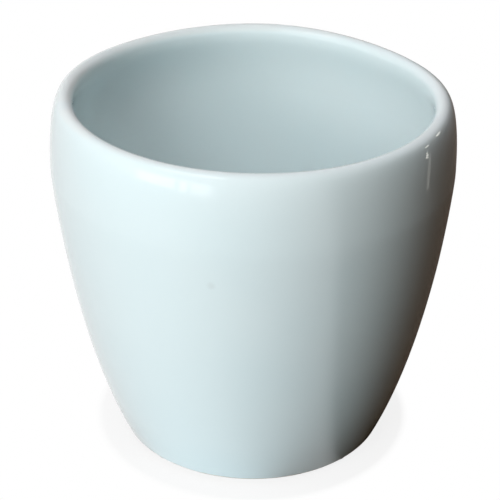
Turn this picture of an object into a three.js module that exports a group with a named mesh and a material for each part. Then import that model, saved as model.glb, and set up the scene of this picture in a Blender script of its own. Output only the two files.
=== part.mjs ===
// Glazed ceramic flower pot of the kind that hides a plastic nursery pot: a shoulder that leans in to a
// round lip, a cove where the wall meets the floor, an unglazed foot ring, and felt pads under the ring.
// Millimetres, +Z up, standing on z = 0 with the axis of the pot on Z.

import * as THREE from "three";

// Outside of the fired body, heights counted from the foot ring
const bellyRadius = 75;
const bellyHeight = 109;
const potHeight = 136.3;
const mouthRadius = 65.8;
const footRadius = 51.6;

// How far the wall leans from upright where it leaves the foot, and where it reaches the lip
const footLean = THREE.MathUtils.degToRad(24);
const lipLean = THREE.MathUtils.degToRad(43);

// Thickness and inside; the wall thickens up the shoulder to the roll of the lip
const wall = 4;
const lipThickness = 6.2;
const floorThickness = 5.5;
const coveRadius = 11;

// Foot ring and the recess inside it
const footEdgeRound = 1.3;
const footLandWidth = 9.5;
const recessDepth = 1.9;

// Felt pads stuck under the foot ring
const padCount = 4;
const padDiameter = 8;
const padThickness = 1.5;
const padEdgeRound = 0.3;
const padFirstAngle = THREE.MathUtils.degToRad(45);
const glueGap = 0.3;

// Fullness of the two sweeps outside, from foot to belly and from belly to lip, and of the throat inside
// the shoulder: how far each end keeps its direction, as a share of the sweep's height
const sweep = {
  leavingFoot: 0.41,
  nearingBelly: 0.05,
  leavingBelly: 0.24,
  nearingLip: 0.19,
  throatUnderLip: 0.25,
  throatOverBelly: 0.6,
};

// Facets
const roundSteps = 72;
const padSteps = 24;
const steps = { lowerWall: 13, shoulder: 8, lip: 10, cove: 6, footEdge: 3, recess: 3, padEdge: 2 };

const glaze = new THREE.MeshStandardMaterial({ color: 0xe9eff0, roughness: 0.12, metalness: 0 });
const felt = new THREE.MeshStandardMaterial({ color: 0xb9b6ae, roughness: 0.95, metalness: 0 });

// The face that lies a set distance inside another curve, on the side of the axis
class InsideCurve extends THREE.Curve {
  constructor(outside, distance) {
    super();
    this.outside = outside;
    this.distance = distance;
  }

  getPoint(t) {
    const along = this.outside.getTangent(t);
    const inward = new THREE.Vector2(-along.y, along.x);
    return this.outside.getPoint(t).addScaledVector(inward, this.distance);
  }
}

// Points of an arc about a centre, from one angle to another, with both ends
function arc(centre, radius, from, to, count) {
  const curve = new THREE.EllipseCurve(centre.x, centre.y, radius, radius, from, to, to < from);
  return curve.getPoints(count);
}

// The parameter where a rising curve reaches a height
function reach(curve, height) {
  let low = 0;
  let high = 1;
  for (let i = 0; i < 50; i += 1) {
    const middle = (low + high) / 2;
    if (curve.getPoint(middle).y < height) {
      low = middle;
    } else {
      high = middle;
    }
  }
  return high;
}

// Points of a curve between two parameters, both ends included
function stretch(curve, from, to, count) {
  return Array.from({ length: count + 1 }, (_, i) => curve.getPoint(from + ((to - from) * i) / count));
}

// Heights and centres that several faces share
const footZ = padThickness + glueGap;
const bellyZ = footZ + bellyHeight;
const lipRound = lipThickness / 2;
const lipCentre = new THREE.Vector2(mouthRadius + lipRound, footZ + potHeight - lipRound);
const lipStart = new THREE.Vector2(Math.cos(lipLean), Math.sin(lipLean))
  .multiplyScalar(lipRound)
  .add(lipCentre);
const floorZ = footZ + recessDepth + floorThickness;
const footEdgeCentre = new THREE.Vector2(
  footRadius - footEdgeRound * Math.cos(footLean),
  footZ + footEdgeRound,
);
const wallFoot = new THREE.Vector2(Math.cos(footLean), -Math.sin(footLean))
  .multiplyScalar(footEdgeRound)
  .add(footEdgeCentre);

// Outside of the wall, from the foot to the belly
const lowerHeight = bellyZ - wallFoot.y;
const lowerWall = new THREE.CubicBezierCurve(
  wallFoot,
  new THREE.Vector2(Math.sin(footLean), Math.cos(footLean))
    .multiplyScalar(sweep.leavingFoot * lowerHeight)
    .add(wallFoot),
  new THREE.Vector2(bellyRadius, bellyZ - sweep.nearingBelly * lowerHeight),
  new THREE.Vector2(bellyRadius, bellyZ),
);

// Outside of the wall, from the belly to the lip
const shoulderHeight = lipStart.y - bellyZ;
const shoulder = new THREE.CubicBezierCurve(
  new THREE.Vector2(bellyRadius, bellyZ),
  new THREE.Vector2(bellyRadius, bellyZ + sweep.leavingBelly * shoulderHeight),
  new THREE.Vector2(Math.sin(lipLean), -Math.cos(lipLean))
    .multiplyScalar(sweep.nearingLip * shoulderHeight)
    .add(lipStart),
  lipStart,
);

// Inside of the shoulder, upright where it leaves the lip and upright again at the belly
const throatHeight = lipCentre.y - bellyZ;
const throat = new THREE.CubicBezierCurve(
  new THREE.Vector2(mouthRadius, lipCentre.y),
  new THREE.Vector2(mouthRadius, lipCentre.y - sweep.throatUnderLip * throatHeight),
  new THREE.Vector2(bellyRadius - wall, bellyZ + sweep.throatOverBelly * throatHeight),
  new THREE.Vector2(bellyRadius - wall, bellyZ),
);

// The inside of the wall ends where the cove takes over: the cove's centre is one cove radius above the
// floor and one wall plus one cove radius inside the outer face
const coveCentreLine = new InsideCurve(lowerWall, wall + coveRadius);
const coveStart = reach(coveCentreLine, floorZ + coveRadius);
const coveCentre = coveCentreLine.getPoint(coveStart);
const coveFacing = lowerWall.getTangent(coveStart);
const coveAngle = Math.atan2(-coveFacing.x, coveFacing.y);

// Half outline of the body, from the axis under the pot round to the axis on the floor
function bodyOutline() {
  const landOuter = footEdgeCentre.x;
  const landInner = landOuter - footLandWidth;
  const insideLower = new InsideCurve(lowerWall, wall);
  return [
    new THREE.Vector2(0, footZ + recessDepth),
    ...arc(new THREE.Vector2(landInner - recessDepth, footZ), recessDepth, Math.PI / 2, 0, steps.recess),
    ...arc(footEdgeCentre, footEdgeRound, -Math.PI / 2, -footLean, steps.footEdge),
    ...stretch(lowerWall, 0, 1, steps.lowerWall).slice(1),
    ...stretch(shoulder, 0, 1, steps.shoulder).slice(1),
    ...arc(lipCentre, lipRound, lipLean, Math.PI, steps.lip).slice(1),
    ...stretch(throat, 0, 1, steps.shoulder).slice(1),
    ...stretch(insideLower, 1, coveStart, steps.lowerWall).slice(1),
    ...arc(coveCentre, coveRadius, coveAngle, -Math.PI / 2, steps.cove).slice(1),
    new THREE.Vector2(0, floorZ),
  ];
}

// Half outline of one pad: a die-cut disc with a softened edge underneath
function padOutline() {
  const radius = padDiameter / 2;
  const edgeCentre = new THREE.Vector2(radius - padEdgeRound, padEdgeRound);
  return [
    new THREE.Vector2(0, 0),
    ...arc(edgeCentre, padEdgeRound, -Math.PI / 2, 0, steps.padEdge),
    new THREE.Vector2(radius, padThickness),
    new THREE.Vector2(0, padThickness),
  ];
}

// A mesh turned about Z from a half outline given as (radius, height)
function turned(name, outline, count, material) {
  const geometry = new THREE.LatheGeometry(outline, count);
  geometry.rotateX(Math.PI / 2);
  const mesh = new THREE.Mesh(geometry, material);
  mesh.name = name;
  return mesh;
}

const group = new THREE.Group();
group.add(turned("pot_body", bodyOutline(), roundSteps, glaze));

// The pads stand in the middle of the foot ring's flat land
const padCircle = footEdgeCentre.x - footLandWidth / 2;
for (let i = 0; i < padCount; i += 1) {
  const angle = padFirstAngle + (i * 2 * Math.PI) / padCount;
  const pad = turned(`foot_pad_${i + 1}`, padOutline(), padSteps, felt);
  pad.position.set(padCircle * Math.cos(angle), padCircle * Math.sin(angle), 0);
  group.add(pad);
}

export default group;
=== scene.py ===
"""A glazed ceramic flower pot on felt pads, standing on a pale studio floor."""
from math import atan2, cos, pi, radians, sin

import bpy
from bpy.props import FloatProperty, FloatVectorProperty, IntProperty, PointerProperty
from mathutils import Euler, Matrix, Vector


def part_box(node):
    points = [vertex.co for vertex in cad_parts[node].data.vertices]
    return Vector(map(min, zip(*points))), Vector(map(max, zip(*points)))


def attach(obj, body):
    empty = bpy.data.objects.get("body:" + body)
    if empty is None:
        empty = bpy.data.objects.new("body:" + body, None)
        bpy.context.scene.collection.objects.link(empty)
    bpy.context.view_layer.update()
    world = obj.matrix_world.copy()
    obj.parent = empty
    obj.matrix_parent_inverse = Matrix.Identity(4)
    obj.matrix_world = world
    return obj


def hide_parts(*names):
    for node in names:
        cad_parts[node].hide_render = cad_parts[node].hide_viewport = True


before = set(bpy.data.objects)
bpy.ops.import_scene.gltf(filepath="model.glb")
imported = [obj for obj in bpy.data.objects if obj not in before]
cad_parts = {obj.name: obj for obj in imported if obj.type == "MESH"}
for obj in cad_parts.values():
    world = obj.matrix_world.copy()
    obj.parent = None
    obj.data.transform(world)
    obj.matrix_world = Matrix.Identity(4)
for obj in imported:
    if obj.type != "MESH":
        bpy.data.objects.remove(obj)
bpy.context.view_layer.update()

bl_info = {
    "name": "Flower Pot",
    "version": (1, 0, 0),
    "blender": (4, 5, 0),
    "location": "View3D > Sidebar > Flower pot",
    "description": "Turns a glazed flower pot, its felt pads and the studio it stands in",
    "category": "Add Mesh",
}

BODY_LOW, BODY_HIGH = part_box("pot_body")
PAD_NODES = sorted(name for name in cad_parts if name.startswith("foot_pad_"))
PAD_LOW, PAD_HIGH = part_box(PAD_NODES[0])

# Points along each stretch of the outline
STEPS = {
    "recess": 8,
    "foot_edge": 8,
    "lower_wall": 44,
    "shoulder": 22,
    "lip": 24,
    "throat": 24,
    "inside": 40,
    "cove": 14,
}
HALVINGS = 40

PICTURE_WIDTH = 500
SENSOR_WIDTH = 36.0
FLOOR_SIZE = 12.0
SMOOTH_BELOW = radians(35)
SAME_PLACE = 1e-6

# What the lamps point at
AIM = Vector((0, 0, 0.1))

# Lamps that light the pot and aren't mirrored in its gloss, as name, side, rise, distance, width, height,
# radiance and tint. A side is counted in degrees from straight in front, to the right, and a rise from level.
SOFT_LAMPS = [
    ("key", -30, 22, 1.2, 0.42, 0.95, 8.3, (0.87, 0.94, 0.955)),
    ("key_low", -52, 11, 1.2, 0.44, 0.42, 5.0, (0.98, 0.9, 0.88)),
    ("key_left", -76, 25, 1.2, 0.40, 0.40, 2.0, (1.0, 0.9, 0.88)),
    ("front", -5, 40, 1.2, 0.40, 0.50, 1.0, (1.0, 0.85, 0.85)),
    ("upper", -22, 62, 1.2, 0.70, 0.30, 0.6, (1.0, 0.9, 0.9)),
    ("overhead", 0, 80, 1.2, 0.50, 0.50, 3.0, (0.79, 0.9, 1.0)),
    ("right", 25, 56, 1.2, 0.50, 0.50, 1.1, (1.0, 0.85, 0.7)),
    ("back", 180, 50, 1.2, 0.90, 0.60, 2.4, (1.0, 0.84, 0.88)),
    ("rear", 168, 12, 1.2, 1.00, 0.50, 1.8, (1.0, 0.98, 0.96)),
    ("left", -90, 50, 1.2, 0.60, 0.70, 0.3, (0.9, 0.7, 0.8)),
]

# Lamps that are only seen in the gloss: a window with a curtain on the left, and gaps in the painted dark
# reflection on the right
MIRRORED_LAMPS = [
    ("window_wide", -51.6, 8.0, 1.2, 0.457, 0.38, 2.6, (1.0, 1.0, 1.0)),
    ("window_narrow", -36, 7.5, 1.2, 0.078, 0.42, 3.3, (1.0, 1.0, 1.0)),
    ("window_curtain", -26.3, 6.0, 1.2, 0.24, 0.40, 2.1, (1.0, 1.0, 1.0)),
    ("window_top", -44, 56, 1.2, 0.62, 0.26, 4.5, (1.0, 1.0, 1.0)),
    ("far_gap", 106.5, 8.6, 1.2, 0.07, 0.07, 6.0, (1.0, 0.97, 0.88)),
    ("middle_gap", 96.4, 0.2, 0.2974, 0.010, 0.032, 4.2, (1.0, 0.97, 0.88)),
    ("near_gap", 99.0, -8, 0.30, 0.014, 0.080, 0.7, (1.0, 0.97, 0.88)),
    ("side_gap", 121.0, 12.0, 1.2, 0.12, 0.10, 5.0, (1.0, 0.97, 0.88)),
]


# Sizes and colours

def length(name, description, default):
    """A length in metres that can be set in the sidebar."""
    return FloatProperty(name=name, description=description, default=default, min=0.0, unit="LENGTH",
                         precision=5)


def angle(name, description, degrees):
    """An angle that can be set in the sidebar."""
    return FloatProperty(name=name, description=description, default=radians(degrees), unit="ROTATION")


def share(name, description, default):
    """A number from 0 to 1."""
    return FloatProperty(name=name, description=description, default=default, min=0.0, max=1.0,
                         subtype="FACTOR")


def colour(name, description, default):
    """A colour."""
    return FloatVectorProperty(name=name, description=description, default=default, size=3, min=0, max=1,
                               subtype="COLOR")


class PotShape(bpy.types.PropertyGroup):
    """Sizes of the fired body, heights counted from the foot ring."""
    belly_radius: length("Belly radius", "Widest radius of the outside", (BODY_HIGH.x - BODY_LOW.x) / 2)
    height: length("Height", "From the foot ring to the top of the lip", BODY_HIGH.z - BODY_LOW.z)
    belly_height: length("Belly height", "Where the outside is widest", 0.109)
    mouth_radius: length("Mouth radius", "Clear radius inside the lip", 0.0658)
    foot_radius: length("Foot radius", "Radius where the wall leaves the foot", 0.0516)
    foot_lean: angle("Foot lean", "How far the wall leans out above the foot", 24)
    lip_lean: angle("Lip lean", "How far the shoulder leans in under the lip", 43)
    wall: length("Wall", "Thickness of the wall up to the belly", 0.004)
    lip_thickness: length("Lip thickness", "Thickness of the roll of the lip", 0.0062)
    floor_thickness: length("Floor thickness", "Clay between the recess and the inside", 0.0055)
    cove_radius: length("Cove radius", "Where the inside of the wall meets the floor", 0.011)
    foot_round: length("Foot round", "Rounding of the foot's outer edge", 0.0013)
    foot_land: length("Foot land", "Width of the flat ring that stands down", 0.0095)
    recess_depth: length("Recess depth", "Hollow inside the foot ring", 0.0019)
    leaving_foot: share("Leaving foot", "Fullness of the lower sweep at the foot", 0.41)
    nearing_belly: share("Nearing belly", "Fullness of the lower sweep at the belly", 0.05)
    leaving_belly: share("Leaving belly", "Fullness of the shoulder at the belly", 0.24)
    nearing_lip: share("Nearing lip", "Fullness of the shoulder at the lip", 0.19)
    throat_under_lip: share("Throat under lip", "Fullness of the inside of the shoulder at the lip", 0.25)
    throat_over_belly: share("Throat over belly", "Fullness of the inside of the shoulder at the belly", 0.6)
    turns: IntProperty(name="Facets round", description="Steps of the spin", default=256, min=24)
    rim_rise_left: length("Rim rise, left", "How much higher than level the kiln left the lip at -X", 0.00086)
    rim_rise_back: length("Rim rise, back", "How much higher than level the kiln left the lip at +Y", 0.00126)
    rim_rise_reach: length("Rim rise reach", "How far down the wall the rise fades out", 0.066)
    first_sag: length("First sag", "How far the lip sagged at the first place", 0.00115)
    first_sag_side: angle("First sag side", "Direction of the first sag from +X", 39)
    second_sag: length("Second sag", "How far the lip sagged at the second place", 0.00087)
    second_sag_side: angle("Second sag side", "Direction of the second sag from +X", 130)
    sag_reach: length("Sag reach", "How far a sag spreads", 0.055)


class GlazeLook(bpy.types.PropertyGroup):
    """Colours and surface of the glaze and the bare clay."""
    glaze: colour("Glaze", "Where the glaze lies at its usual depth", (0.79, 0.89, 0.90))
    glaze_deep: colour("Deep glaze", "Where the glaze has pooled", (0.73, 0.86, 0.88))
    glaze_thin: colour("Thin glaze", "Where the glaze has run off an edge", (0.80, 0.87, 0.86))
    drift: share("Drift", "How far the glaze's depth drifts over the pot", 0.5)
    pooling: share("Pooling", "How far the glaze has pooled low down", 0.35)
    thinning: share("Thinning", "How far the glaze has run off the top of the lip", 0.7)
    speck: colour("Speck", "Iron specks in the glaze", (0.30, 0.27, 0.22))
    speck_strength: share("Speck strength", "How strongly an iron speck shows", 0.3)
    mark_place: FloatVectorProperty(name="Mark place", description="Middle of a faint mark under the glaze",
                                    default=(-0.01395, -0.07237, 0.09721), size=3, subtype="XYZ",
                                    unit="LENGTH")
    mark_edge: length("Mark edge", "How far the mark fades out from its middle", 0.0021)
    mark_core: length("Mark core", "How far the mark keeps its full strength", 0.0004)
    mark_strength: share("Mark strength", "How strongly the mark shows", 0.09)
    clay: colour("Clay", "The bare foot ring", (0.62, 0.56, 0.47))
    clay_stain: colour("Clay stain", "Dirt that the bare foot has picked up", (0.42, 0.37, 0.30))
    stain_strength: share("Stain strength", "How strongly the dirt shows", 0.6)
    gloss: share("Gloss roughness", "Roughness of the glaze", 0.04)
    smudging: share("Smudging", "Roughness that handling adds to the glaze in places", 0.02)
    bare_roughness: share("Bare roughness", "Roughness of the bare clay", 0.9)
    ring_depth: length("Ring depth", "Depth of the turning rings under the glaze", 0.000012)
    peel_depth: length("Peel depth", "Depth of the glaze's fine ripple", 0.000003)
    grit_depth: length("Grit depth", "Depth of the grain of the bare clay", 0.00012)


class PadLook(bpy.types.PropertyGroup):
    """Felt pads and their glue."""
    radius: length("Radius", "Radius of one pad", (PAD_HIGH.x - PAD_LOW.x) / 2)
    thickness: length("Thickness", "Thickness of the felt", PAD_HIGH.z - PAD_LOW.z)
    edge_round: length("Edge round", "Softened edge of the cut felt", 0.0003)
    glue_margin: length("Glue margin", "How far the glue film stays inside the felt", 0.0003)
    glue_fill: share("Glue fill", "How much of the gap over the felt the glue fills", 0.94)
    glue_round: share("Glue round", "Softened edge of the glue, as a share of the gap", 0.2)
    felt: colour("Felt", "Pressed wool", (0.42, 0.41, 0.38))
    felt_dark: colour("Felt shadow", "Between the fibres", (0.22, 0.21, 0.19))
    fibre_depth: length("Fibre depth", "Depth of the felt's fibres", 0.00015)
    glue: colour("Glue", "Adhesive film", (0.80, 0.79, 0.74))
    bubble: colour("Bubble", "Air trapped in the glue", (0.95, 0.95, 0.93))
    bubble_depth: length("Bubble depth", "Depth of a bubble in the glue", 0.00005)


class Studio(bpy.types.PropertyGroup):
    """Camera, floor and light."""
    distance: length("Distance", "Level distance from the pot's axis to the camera", 0.50867)
    camera_height: length("Camera height", "Above the foot ring", 0.3417)
    tilt: angle("Tilt", "How far the camera looks down", 28.059)
    pan: angle("Pan", "How far the camera looks to the right of the axis", -0.131)
    roll: angle("Roll", "How far the camera is turned about its line of sight", 0.344)
    focal_pixels: FloatProperty(name="Focal length in pixels", description="In a picture 500 pixels wide",
                                default=1500.0)
    floor: colour("Floor", "Studio floor", (0.86, 0.86, 0.86))
    floor_wear: share("Floor wear", "How much darker the floor's uneven patches are", 0.03)
    floor_lift: share("Floor lift", "How far the seen floor at the pot's foot is lifted to white", 0.85)
    # Painted dark reflection: the next two colours are seen only in the glaze's gloss, low down on the right
    floor_dark_reflection: colour("Dim floor", "Floor that the glaze mirrors on the right", (0.19, 0.155, 0.12))
    room_dark_reflection: colour("Dim room", "Backdrop that the glaze mirrors on the right", (0.12, 0.10, 0.08))
    bounce_lit: colour("Lit bounce", "Light that the sunny patch of floor throws up at the pot",
                       (0.415, 0.52, 0.57))
    bounce_dark: colour("Dark bounce", "Light that the rest of the floor throws up", (0.01, 0.004, 0.0))
    fill: colour("Fill", "Light from the room", (0.02, 0.01, 0.004))


# Outline of the pot, as points of radius and height

def along(direction, reach):
    """A step of a given length in a direction given as an angle from +radius."""
    return Vector((cos(direction), sin(direction))) * reach


def arc(centre, radius, start, end, count):
    """Points of an arc, both ends included."""
    return [centre + along(start + (end - start) * i / count, radius) for i in range(count + 1)]


def on_sweep(sweep, t):
    """Place and direction on a cubic sweep."""
    a, b, c, d = sweep
    s = 1 - t
    place = a * s**3 + b * (3 * s * s * t) + c * (3 * s * t * t) + d * t**3
    slope = (b - a) * (s * s) + (c - b) * (2 * s * t) + (d - c) * (t * t)
    return place, slope.normalized()


def face_inside(sweep, depth, start, end, count):
    """Points that lie a set depth inside a sweep, on the side of the axis."""
    points = []
    for i in range(count + 1):
        place, slope = on_sweep(sweep, start + (end - start) * i / count)
        points.append(place + Vector((-slope.y, slope.x)) * depth)
    return points


def reach_height(sweep, depth, height):
    """Where the face inside a sweep reaches a height."""
    low, high = 0.0, 1.0
    for _ in range(HALVINGS):
        middle = (low + high) / 2
        if face_inside(sweep, depth, middle, middle, 1)[0].y < height:
            low = middle
        else:
            high = middle
    return high


def pot_outline(shape):
    """Half outline of the body, from the axis under the pot round to the axis on the floor."""
    foot = BODY_LOW.z
    belly = Vector((shape.belly_radius, foot + shape.belly_height))
    lip_round = shape.lip_thickness / 2
    lip = Vector((shape.mouth_radius + lip_round, foot + shape.height - lip_round))
    lip_start = lip + along(shape.lip_lean, lip_round)
    edge = Vector((shape.foot_radius - shape.foot_round * cos(shape.foot_lean), foot + shape.foot_round))
    wall_foot = edge + along(-shape.foot_lean, shape.foot_round)

    rise = belly.y - wall_foot.y
    lower = (
        wall_foot,
        wall_foot + along(pi / 2 - shape.foot_lean, shape.leaving_foot * rise),
        belly - Vector((0, shape.nearing_belly * rise)),
        belly,
    )
    rise = lip_start.y - belly.y
    shoulder = (
        belly,
        belly + Vector((0, shape.leaving_belly * rise)),
        lip_start - along(pi / 2 + shape.lip_lean, shape.nearing_lip * rise),
        lip_start,
    )
    rise = lip.y - belly.y
    throat = (
        Vector((shape.mouth_radius, lip.y)),
        Vector((shape.mouth_radius, lip.y - shape.throat_under_lip * rise)),
        Vector((belly.x - shape.wall, belly.y + shape.throat_over_belly * rise)),
        Vector((belly.x - shape.wall, belly.y)),
    )

    floor = foot + shape.recess_depth + shape.floor_thickness
    to_cove = shape.wall + shape.cove_radius
    cove_start = reach_height(lower, to_cove, floor + shape.cove_radius)
    cove = face_inside(lower, to_cove, cove_start, cove_start, 1)[0]
    slope = on_sweep(lower, cove_start)[1]
    cove_angle = atan2(-slope.x, slope.y)

    land_inner = edge.x - shape.foot_land
    recess = Vector((land_inner - shape.recess_depth, foot))
    outline = [Vector((0, foot + shape.recess_depth))]
    outline += arc(recess, shape.recess_depth, pi / 2, 0, STEPS["recess"])
    outline += arc(edge, shape.foot_round, -pi / 2, -shape.foot_lean, STEPS["foot_edge"])
    outline += face_inside(lower, 0, 0, 1, STEPS["lower_wall"])[1:]
    outline += face_inside(shoulder, 0, 0, 1, STEPS["shoulder"])[1:]
    outline += arc(lip, lip_round, shape.lip_lean, pi, STEPS["lip"])[1:]
    outline += face_inside(throat, 0, 0, 1, STEPS["throat"])[1:]
    outline += face_inside(lower, shape.wall, 1, cove_start, STEPS["inside"])[1:]
    outline += arc(cove, shape.cove_radius, cove_angle, -pi / 2, STEPS["cove"])[1:]
    outline.append(Vector((0, floor)))
    return outline


# Modelling steps

def start_piece(name):
    """Names the piece in hand and returns it."""
    piece = bpy.context.object
    piece.name = name
    piece.data.name = name
    return piece


def choose(piece, wanted):
    """In edit mode, selects the vertices whose place passes the test, and nothing else."""
    bpy.ops.mesh.select_mode(type="VERT")
    bpy.ops.mesh.select_all(action="DESELECT")
    bpy.ops.object.mode_set(mode="OBJECT")
    for vertex in piece.data.vertices:
        vertex.select = wanted(vertex.co)
    bpy.ops.object.mode_set(mode="EDIT")


def put_in_place():
    """Moves the place of the piece in hand into its mesh, so that the object stays at the origin."""
    bpy.ops.object.transform_apply(location=True, rotation=True, scale=True)


def copied(pattern, name, step):
    """A copy of a piece with its own mesh, moved by a step."""
    bpy.ops.object.select_all(action="DESELECT")
    pattern.select_set(True)
    bpy.context.view_layer.objects.active = pattern
    bpy.ops.object.duplicate(linked=False)
    piece = start_piece(name)
    bpy.ops.transform.translate(value=step)
    put_in_place()
    return piece


def hand_over(piece, slot, material, *nodes):
    """Gives a finished piece its material, its body and the nodes that it stands for."""
    piece.data.materials.clear()
    piece.data.materials.append(material)
    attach(piece, "root")
    if nodes:
        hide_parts(*nodes)


# Shading steps

def fill_in(tree, socket, value):
    """Sets a socket, or links it if the value is another node's output."""
    if isinstance(value, bpy.types.NodeSocket):
        tree.links.new(value, socket)
    elif socket.type == "RGBA" and len(value) == 3:
        socket.default_value = (*value, 1.0)
    else:
        socket.default_value = value


def add(tree, kind, inputs=None, **settings):
    """Adds a node, with its settings, and its inputs by name or number: a value, or another node's output."""
    node = tree.nodes.new(kind)
    for name, value in settings.items():
        setattr(node, name, value)
    for key, value in (inputs or {}).items():
        fill_in(tree, node.inputs[key], value)
    return node


def maths(tree, operation, *operands):
    """A Math node's result."""
    return add(tree, "ShaderNodeMath", dict(enumerate(operands)), operation=operation).outputs[0]


def times(tree, a, b):
    """The product of two values."""
    return maths(tree, "MULTIPLY", a, b)


def dot(tree, vector, direction):
    """How far a vector points in a direction."""
    node = add(tree, "ShaderNodeVectorMath", {0: vector, 1: direction}, operation="DOT_PRODUCT")
    return node.outputs["Value"]


def band(tree, value, low, high):
    """0 below low, 1 above high, and a smooth step between. With low above high it falls instead."""
    inputs = {"Value": value, "From Min": low, "From Max": high}
    return add(tree, "ShaderNodeMapRange", inputs, interpolation_type="SMOOTHSTEP").outputs["Result"]


def level(side):
    """A level direction, its side counted in degrees from straight in front, to the right."""
    return (sin(radians(side)), -cos(radians(side)), 0)


def towards(tree, bearing, side, none, full):
    """A mask that is 0 beyond one angle from a side and 1 within another, in degrees, and smooth between."""
    return band(tree, dot(tree, bearing, level(side)), cos(radians(none)), cos(radians(full)))


def blend_colour(tree, factor, a, b):
    """Colour a where the factor is 0 and colour b where it is 1."""
    node = add(tree, "ShaderNodeMix", data_type="RGBA")
    for number, value in ((0, factor), (6, a), (7, b)):
        fill_in(tree, node.inputs[number], value)
    return node.outputs[2]


def bump(tree, height, distance, strength=1.0, under=None):
    """A normal pushed about by a height, over another bump's normal if there is one."""
    node = add(tree, "ShaderNodeBump", {"Height": height, "Distance": distance, "Strength": strength})
    if under:
        tree.links.new(under, node.inputs["Normal"])
    return node.outputs[0]


def noise(tree, place, scale, detail):
    """A noise texture's value."""
    return add(tree, "ShaderNodeTexNoise", {"Vector": place, "Scale": scale, "Detail": detail}).outputs[0]


def stretched(tree, place, scale):
    """The same place, squeezed or drawn out along each axis."""
    return add(tree, "ShaderNodeMapping", {"Vector": place, "Scale": scale}).outputs[0]


def new_material(name):
    """An empty node material, with its output and its place on the piece."""
    material = bpy.data.materials.new(name)
    material.use_nodes = True
    tree = material.node_tree
    tree.nodes.clear()
    place = add(tree, "ShaderNodeTexCoord").outputs["Object"]
    output = add(tree, "ShaderNodeOutputMaterial")
    return material, tree, place, output


def new_group(name, defaults):
    """An empty node group that takes a place and some values, and puts out a mask."""
    tree = bpy.data.node_groups.new(name, "ShaderNodeTree")
    tree.interface.new_socket("Place", in_out="INPUT", socket_type="NodeSocketVector")
    for title, default in defaults.items():
        socket = tree.interface.new_socket(title, in_out="INPUT", socket_type="NodeSocketFloat")
        socket.default_value = default
    tree.interface.new_socket("Mask", in_out="OUTPUT", socket_type="NodeSocketFloat")
    return tree, add(tree, "NodeGroupInput").outputs


def mottle_group():
    """Soft uneven patches: a value that drifts between 0 and 1 over the surface."""
    tree, entry = new_group("mottle", {"Scale": 30.0, "Detail": 3.0, "Low": 0.4, "High": 0.6})
    patches = add(tree, "ShaderNodeTexNoise", {
        "Vector": entry["Place"], "Scale": entry["Scale"], "Detail": entry["Detail"], "Roughness": 0.55})
    add(tree, "NodeGroupOutput", {"Mask": band(tree, patches.outputs[0], entry["Low"], entry["High"])})
    return tree


def speck_group():
    """Small round specks, one in a few of the cells of a pattern."""
    tree, entry = new_group("specks", {"Scale": 70.0, "Size": 0.05, "Few": 0.02})
    cells = add(tree, "ShaderNodeTexVoronoi", {"Vector": entry["Place"], "Scale": entry["Scale"]})
    chance = add(tree, "ShaderNodeSeparateColor", {"Color": cells.outputs["Color"]}).outputs[0]
    solid_share = 0.4
    solid = times(tree, entry["Size"], solid_share)
    near = band(tree, cells.outputs["Distance"], entry["Size"], solid)
    add(tree, "NodeGroupOutput", {"Mask": times(tree, near, maths(tree, "LESS_THAN", chance, entry["Few"]))})
    return tree


def placed(tree, name, build, inputs):
    """The mask of a node group, built when it is first needed, and placed with its inputs set by name."""
    group = bpy.data.node_groups.get(name) or build()
    node = tree.nodes.new("ShaderNodeGroup")
    node.node_tree = group
    for title, value in inputs.items():
        fill_in(tree, node.inputs[title], value)
    return node.outputs["Mask"]


def mottle(tree, place, scale, detail=3.0, low=0.4, high=0.6):
    """The mottle group's mask, placed in a material."""
    inputs = {"Place": place, "Scale": scale, "Detail": detail, "Low": low, "High": high}
    return placed(tree, "mottle", mottle_group, inputs)


def specks(tree, place, scale, size, few):
    """The specks group's mask, placed in a material."""
    return placed(tree, "specks", speck_group, {"Place": place, "Scale": scale, "Size": size, "Few": few})


# Materials of the pot and its pads

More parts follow.
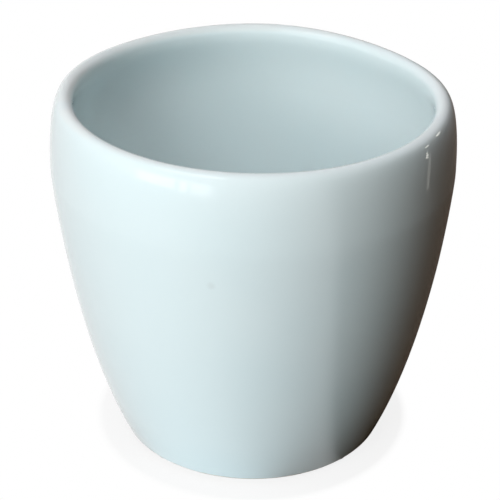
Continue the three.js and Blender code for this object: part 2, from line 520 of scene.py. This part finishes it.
def glaze_material(look):
    """White glaze over turned clay, thin on the lip, deeper low down, wiped off the foot ring."""
    material, tree, place, output = new_material("white_glaze")
    height = add(tree, "ShaderNodeSeparateXYZ", {"Vector": place}).outputs["Z"]
    foot = BODY_LOW.z
    top = BODY_HIGH.z

    pool_starts = foot + 0.026
    pool_full = foot + 0.008
    thin_starts = top - 0.0016
    thin_full = top - 0.0002
    drift = mottle(tree, place, scale=14.0, detail=2.0, low=0.35, high=0.7)
    pooled = band(tree, height, pool_starts, pool_full)
    deep = maths(tree, "MAXIMUM", times(tree, drift, look.drift), times(tree, pooled, look.pooling))
    lip_top = band(tree, height, thin_starts, thin_full)
    run_off = times(tree, lip_top, mottle(tree, place, scale=60.0, detail=2.0, low=0.25, high=0.6))
    glaze = blend_colour(tree, deep, look.glaze, look.glaze_deep)
    glaze = blend_colour(tree, times(tree, run_off, look.thinning), glaze, look.glaze_thin)
    iron = specks(tree, place, scale=66.0, size=0.04, few=0.015)
    glaze = blend_colour(tree, times(tree, iron, look.speck_strength), glaze, look.speck)
    from_mark = add(tree, "ShaderNodeVectorMath", {0: place, 1: look.mark_place}, operation="DISTANCE")
    mark = band(tree, from_mark.outputs["Value"], look.mark_edge, look.mark_core)
    glaze = blend_colour(tree, times(tree, mark, look.mark_strength), glaze, look.speck)

    waver_height = 0.0005
    wiped_above = foot + 0.0011
    wiped_below = foot + 0.0009
    waver = times(tree, mottle(tree, place, scale=90.0, detail=2.0, low=0.2, high=0.8), waver_height)
    bare = band(tree, maths(tree, "ADD", height, waver), wiped_above, wiped_below)
    stain = mottle(tree, place, scale=160.0, detail=5.0, low=0.45, high=0.75)
    clay = blend_colour(tree, times(tree, stain, look.stain_strength), look.clay, look.clay_stain)
    surface = blend_colour(tree, bare, glaze, clay)

    smudge = mottle(tree, place, scale=25.0, detail=4.0, low=0.45, high=0.75)
    gloss = maths(tree, "MULTIPLY_ADD", smudge, look.smudging, look.gloss)
    rough = add(tree, "ShaderNodeMix", {"Factor": bare, "A": gloss, "B": look.bare_roughness}).outputs[0]

    ring_stretch = (1.5, 1.5, 190.0)
    rings = noise(tree, stretched(tree, place, ring_stretch), scale=1.0, detail=1.5)
    ripple = noise(tree, place, scale=260.0, detail=1.0)
    grain = noise(tree, place, scale=2200.0, detail=3.0)
    turned = bump(tree, rings, look.ring_depth)
    peeled = bump(tree, ripple, look.peel_depth, under=turned)
    gritty = bump(tree, times(tree, grain, bare), look.grit_depth, strength=0.8, under=peeled)

    shader = add(tree, "ShaderNodeBsdfPrincipled", {
        "Base Color": surface, "Roughness": rough, "IOR": 1.5, "Normal": gritty})
    tree.links.new(shader.outputs[0], output.inputs["Surface"])
    return material


def felt_material(look):
    """Pressed wool felt, with short fibres lying every way."""
    material, tree, place, output = new_material("grey_felt")
    along_y = (1.0, 0.18, 1.0)
    along_x = (0.18, 1.0, 0.6)
    fibres = noise(tree, stretched(tree, place, along_y), scale=4200.0, detail=4.0)
    crossing = noise(tree, stretched(tree, place, along_x), scale=4200.0, detail=4.0)
    lay = maths(tree, "MAXIMUM", fibres, crossing)
    patches = mottle(tree, place, scale=500.0, detail=4.0, low=0.35, high=0.7)
    between = band(tree, lay, 0.62, 0.45)
    least_shade = 0.5
    more_in_patches = 0.4
    shade = times(tree, between, maths(tree, "MULTIPLY_ADD", patches, more_in_patches, least_shade))
    wool = blend_colour(tree, shade, look.felt, look.felt_dark)
    shader = add(tree, "ShaderNodeBsdfPrincipled", {
        "Base Color": wool, "Roughness": 0.95, "Sheen Weight": 0.3,
        "Normal": bump(tree, lay, look.fibre_depth)})
    tree.links.new(shader.outputs[0], output.inputs["Surface"])
    return material


def glue_material(look):
    """Milky adhesive film with a few trapped bubbles."""
    material, tree, place, output = new_material("glue_film")
    bubble_strength = 0.25
    least_roughness = 0.3
    more_in_patches = 0.15
    bubbles = specks(tree, place, scale=1500.0, size=0.3, few=0.3)
    tint = blend_colour(tree, times(tree, bubbles, bubble_strength), look.glue, look.bubble)
    patches = mottle(tree, place, scale=700.0)
    rough = maths(tree, "MULTIPLY_ADD", patches, more_in_patches, least_roughness)
    shader = add(tree, "ShaderNodeBsdfPrincipled", {
        "Base Color": tint, "Roughness": rough,
        "Normal": bump(tree, bubbles, look.bubble_depth, strength=0.6)})
    tree.links.new(shader.outputs[0], output.inputs["Surface"])
    return material


# Materials of the studio

def seen_directly(tree):
    """1 for what is seen, also in a reflection or through glass, and 0 for the light thrown on the pot."""
    ray = add(tree, "ShaderNodeLightPath").outputs
    mirrored = maths(tree, "MAXIMUM", ray["Is Glossy Ray"], ray["Is Transmission Ray"])
    return maths(tree, "MAXIMUM", ray["Is Camera Ray"], mirrored)


def painted_dark_reflection(tree, bearing):
    """Painted dark reflection: 1 low down on the right for glossy rays only, so that the glaze mirrors a dark
    side that the camera never sees, and 0 elsewhere.
    """
    rise = add(tree, "ShaderNodeSeparateXYZ", {"Vector": bearing}).outputs["Z"]
    past_front = towards(tree, bearing, side=130, none=96.9, full=84.3)
    before_back = towards(tree, bearing, side=70, none=126.9, full=87.1)
    low_down = band(tree, rise, sin(radians(36.9)), sin(radians(8.6)))
    dark = times(tree, times(tree, past_front, before_back), low_down)
    return times(tree, dark, add(tree, "ShaderNodeLightPath").outputs["Is Glossy Ray"])


def sunny_patch(tree, bearing, away):
    """1 for the sunny patch of floor in front of the pot and to its left, and 0 elsewhere."""
    patch_ends = 0.6
    patch_full = 0.45
    near_enough = band(tree, away, patch_ends, patch_full)
    return times(tree, towards(tree, bearing, side=-22, none=36.9, full=11.5), near_enough)


def floor_material(look):
    """Pale floor that keeps the pot's shadow and is lifted to white, with a painted dark reflection on the
    right that only the glaze's gloss sees.
    """
    material, tree, place, output = new_material("studio_floor")
    away = add(tree, "ShaderNodeVectorMath", {0: place}, operation="LENGTH").outputs["Value"]
    bearing = add(tree, "ShaderNodeVectorMath", {0: place}, operation="NORMALIZE").outputs["Vector"]
    dim = painted_dark_reflection(tree, bearing)

    worn_share = 0.3
    white_starts = 0.048
    white_full = 0.064
    grain = mottle(tree, place, scale=40.0, detail=4.0, low=0.2, high=0.8)
    worn = [(1 - look.floor_wear) * c for c in look.floor]
    tone = blend_colour(tree, times(tree, grain, worn_share), look.floor, worn)
    # Painted dark reflection: the floor turns dark on the right for glossy rays only
    tone = blend_colour(tree, dim, tone, look.floor_dark_reflection)
    lift = maths(tree, "MAXIMUM", band(tree, away, white_starts, white_full), look.floor_lift)
    lift = times(tree, lift, maths(tree, "SUBTRACT", 1.0, dim))
    lit = add(tree, "ShaderNodeBsdfDiffuse", {"Color": tone}).outputs[0]
    white = add(tree, "ShaderNodeEmission", {"Color": (1, 1, 1), "Strength": 1.0}).outputs[0]
    seen = add(tree, "ShaderNodeMixShader", {0: lift, 1: lit, 2: white}).outputs[0]

    thrown = blend_colour(tree, sunny_patch(tree, bearing, away), look.bounce_dark, look.bounce_lit)
    bounce = add(tree, "ShaderNodeEmission", {"Color": thrown, "Strength": 1.0}).outputs[0]
    shader = add(tree, "ShaderNodeMixShader", {0: seen_directly(tree), 1: bounce, 2: seen})
    tree.links.new(shader.outputs[0], output.inputs["Surface"])
    return material


def room_world(look):
    """White all round, with a painted dark reflection on the right that only the glaze's gloss sees, and a
    dim even light on the pot.
    """
    world = bpy.data.worlds.new("studio_room")
    world.use_nodes = True
    tree = world.node_tree
    tree.nodes.clear()
    bearing = add(tree, "ShaderNodeTexCoord").outputs["Generated"]
    # Painted dark reflection: the room turns dark on the right for glossy rays only
    tone = blend_colour(tree, painted_dark_reflection(tree, bearing), (1, 1, 1), look.room_dark_reflection)
    white = add(tree, "ShaderNodeBackground", {"Color": tone, "Strength": 1.0}).outputs[0]
    fill = add(tree, "ShaderNodeBackground", {"Color": look.fill, "Strength": 1.0}).outputs[0]
    mixed = add(tree, "ShaderNodeMixShader", {0: seen_directly(tree), 1: fill, 2: white}).outputs[0]
    add(tree, "ShaderNodeOutputWorld", {"Surface": mixed})
    return world


# Pieces

class POT_OT_turn_body(bpy.types.Operator):
    """Turns the fired body from its half outline"""
    bl_idname = "pot.turn_body"
    bl_label = "Turn the body"

    def execute(self, context):
        shape = context.scene.pot_shape
        outline = pot_outline(shape)
        bpy.ops.object.select_all(action="DESELECT")
        bpy.ops.mesh.primitive_plane_add(size=0.001, location=(0, 0, 0))
        body = start_piece("glazed_body")
        bpy.ops.object.mode_set(mode="EDIT")
        bpy.ops.mesh.merge(type="CENTER")
        bpy.ops.transform.translate(value=(outline[0].x, 0, outline[0].y))
        for here, there in zip(outline, outline[1:]):
            step = there - here
            bpy.ops.mesh.extrude_vertices_move(TRANSFORM_OT_translate={"value": (step.x, 0, step.y)})
        bpy.ops.mesh.select_all(action="SELECT")
        bpy.ops.mesh.spin(steps=shape.turns, angle=2 * pi, center=(0, 0, 0), axis=(0, 0, 1))
        bpy.ops.mesh.select_all(action="SELECT")
        bpy.ops.mesh.remove_doubles(threshold=SAME_PLACE)
        bpy.ops.mesh.normals_make_consistent(inside=False)
        self.warp_rim(body, shape)
        bpy.ops.object.mode_set(mode="OBJECT")
        bpy.ops.object.shade_smooth_by_angle(angle=SMOOTH_BELOW)
        put_in_place()
        hand_over(body, "white_glaze", glaze_material(context.scene.pot_glaze), "pot_body")
        return {"FINISHED"}

    def warp_rim(self, body, shape):
        """Leaves the lip a little off level and lets it sag in two places, as it does in the kiln."""
        lip = BODY_HIGH.z - shape.lip_thickness / 2
        choose(body, lambda place: place.z > lip)
        for axis, rise in (("Y", shape.rim_rise_left), ("X", shape.rim_rise_back)):
            bpy.ops.transform.rotate(
                value=-rise / shape.belly_radius, orient_axis=axis, orient_type="GLOBAL",
                center_override=(0, 0, lip), use_proportional_edit=True,
                proportional_edit_falloff="SMOOTH", proportional_size=shape.rim_rise_reach)
        middle = shape.mouth_radius + shape.lip_thickness / 2
        sags = ((shape.first_sag_side, shape.first_sag), (shape.second_sag_side, shape.second_sag))
        for side, sag in sags:
            spot = Matrix.Rotation(side, 3, "Z") @ Vector((middle, 0, BODY_HIGH.z))
            choose(body, lambda place: (place - spot).length < shape.lip_thickness / 3)
            bpy.ops.transform.translate(
                value=(0, 0, -sag), use_proportional_edit=True,
                proportional_edit_falloff="SMOOTH", proportional_size=shape.sag_reach)


class POT_OT_cut_pads(bpy.types.Operator):
    """Cuts a felt pad and its glue film, and lays four of each under the foot ring"""
    bl_idname = "pot.cut_pads"
    bl_label = "Cut the pads"

    def execute(self, context):
        look = context.scene.pot_pads
        gap = BODY_LOW.z - PAD_HIGH.z
        middle = (PAD_LOW + PAD_HIGH) / 2
        above = Vector((middle.x, middle.y, PAD_HIGH.z + gap / 2))
        pad = self.disc(middle, look.radius, look.thickness, look.edge_round)
        film = self.disc(above, look.radius - look.glue_margin, gap * look.glue_fill, gap * look.glue_round)
        felt = felt_material(look)
        glue = glue_material(look)
        for number, node in enumerate(PAD_NODES, start=1):
            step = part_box(node)[0] - PAD_LOW
            hand_over(copied(pad, f"felt_pad_{number}", step), "grey_felt", felt, node)
            hand_over(copied(film, f"glue_film_{number}", step), "grey_felt", glue)
        bpy.ops.object.select_all(action="DESELECT")
        pad.select_set(True)
        film.select_set(True)
        bpy.ops.object.delete()
        return {"FINISHED"}

    def disc(self, place, radius, thickness, edge_round):
        """A flat disc with softened edges."""
        bpy.ops.object.select_all(action="DESELECT")
        bpy.ops.mesh.primitive_cylinder_add(vertices=72, radius=radius, depth=thickness, location=place)
        piece = start_piece("pattern")
        put_in_place()
        bpy.ops.object.mode_set(mode="EDIT")
        bpy.ops.mesh.select_mode(type="EDGE")
        bpy.ops.mesh.select_all(action="DESELECT")
        bpy.ops.object.mode_set(mode="OBJECT")
        points = piece.data.vertices
        for edge in piece.data.edges:
            a, b = (points[i].co.z for i in edge.vertices)
            edge.select = abs(a - b) < SAME_PLACE
        bpy.ops.object.mode_set(mode="EDIT")
        bpy.ops.mesh.bevel(offset=edge_round, segments=4, profile=0.5)
        bpy.ops.mesh.select_mode(type="FACE")
        bpy.ops.mesh.select_all(action="DESELECT")
        bpy.ops.object.mode_set(mode="OBJECT")
        level_face = 0.99
        for face in piece.data.polygons:
            face.select = abs(face.normal.z) > level_face
        bpy.ops.object.mode_set(mode="EDIT")
        ring_width = radius * 0.4
        bpy.ops.mesh.inset(thickness=ring_width, use_individual=True)
        bpy.ops.object.mode_set(mode="OBJECT")
        bpy.ops.object.shade_smooth_by_angle(angle=SMOOTH_BELOW)
        return piece


class POT_OT_set_studio(bpy.types.Operator):
    """Lays the floor and sets the light and the camera"""
    bl_idname = "pot.set_studio"
    bl_label = "Set the studio"

    def execute(self, context):
        studio = context.scene.pot_studio
        self.lay_floor(studio)
        context.scene.world = room_world(studio)
        for mirrored, lamps in ((False, SOFT_LAMPS), (True, MIRRORED_LAMPS)):
            for lamp in lamps:
                self.hang_lamp(mirrored, *lamp)
        context.scene.camera = self.set_camera(studio)
        context.scene.view_settings.view_transform = "Standard"
        return {"FINISHED"}

    def lay_floor(self, studio):
        bpy.ops.object.select_all(action="DESELECT")
        bpy.ops.mesh.primitive_plane_add(size=FLOOR_SIZE, location=(0, 0, 0))
        floor = start_piece("floor")
        floor.data.materials.append(floor_material(studio))

    def hang_lamp(self, mirrored, name, side, rise, distance, width, height, radiance, tint):
        """A flat lamp that faces what the lamps point at, and is either mirrored or lights the pot."""
        bpy.ops.object.select_all(action="DESELECT")
        away = Vector(level(side)) * cos(radians(rise)) + Vector((0, 0, sin(radians(rise))))
        bpy.ops.object.light_add(type="AREA", location=AIM + away * distance)
        lamp = bpy.context.object
        lamp.name = name
        lamp.rotation_euler = away.to_track_quat("Z", "Y").to_euler()
        lamp.data.shape = "RECTANGLE"
        lamp.data.size = width
        lamp.data.size_y = height
        lamp.data.color = tint
        lamp.data.energy = radiance * pi * width * height
        lamp.visible_camera = False
        lamp.visible_glossy = mirrored
        lamp.visible_diffuse = not mirrored

    def set_camera(self, studio):
        bpy.ops.object.camera_add(location=(0, -studio.distance, BODY_LOW.z + studio.camera_height))
        camera = bpy.context.object
        camera.name = "camera"
        look = Euler((pi / 2 - studio.tilt, 0, -studio.pan)).to_matrix()
        camera.rotation_euler = (look @ Matrix.Rotation(studio.roll, 3, "Z")).to_euler()
        camera.data.sensor_width = SENSOR_WIDTH
        camera.data.lens = studio.focal_pixels / PICTURE_WIDTH * SENSOR_WIDTH
        return camera


class POT_PT_sidebar(bpy.types.Panel):
    """Lists the steps and the settings in the sidebar"""
    bl_idname = "POT_PT_sidebar"
    bl_label = "Flower pot"
    bl_space_type = "VIEW_3D"
    bl_region_type = "UI"
    bl_category = "Flower pot"

    def draw(self, context):
        for operator in (POT_OT_turn_body, POT_OT_cut_pads, POT_OT_set_studio):
            self.layout.operator(operator.bl_idname)
        for attribute in GROUPS:
            box = self.layout.box()
            settings = getattr(context.scene, attribute)
            for name in settings.bl_rna.properties.keys():
                if name not in ("rna_type", "name"):
                    box.prop(settings, name)


GROUPS = {"pot_shape": PotShape, "pot_glaze": GlazeLook, "pot_pads": PadLook, "pot_studio": Studio}
CLASSES = (*GROUPS.values(), POT_OT_turn_body, POT_OT_cut_pads, POT_OT_set_studio, POT_PT_sidebar)


def register():
    for item in CLASSES:
        bpy.utils.register_class(item)
    for attribute, group in GROUPS.items():
        setattr(bpy.types.Scene, attribute, PointerProperty(type=group))


def unregister():
    for attribute in GROUPS:
        delattr(bpy.types.Scene, attribute)
    for item in reversed(CLASSES):
        bpy.utils.unregister_class(item)


def main():
    register()
    bpy.ops.pot.set_studio()
    bpy.ops.pot.turn_body()
    bpy.ops.pot.cut_pads()


if __name__ == "__main__":
    main()
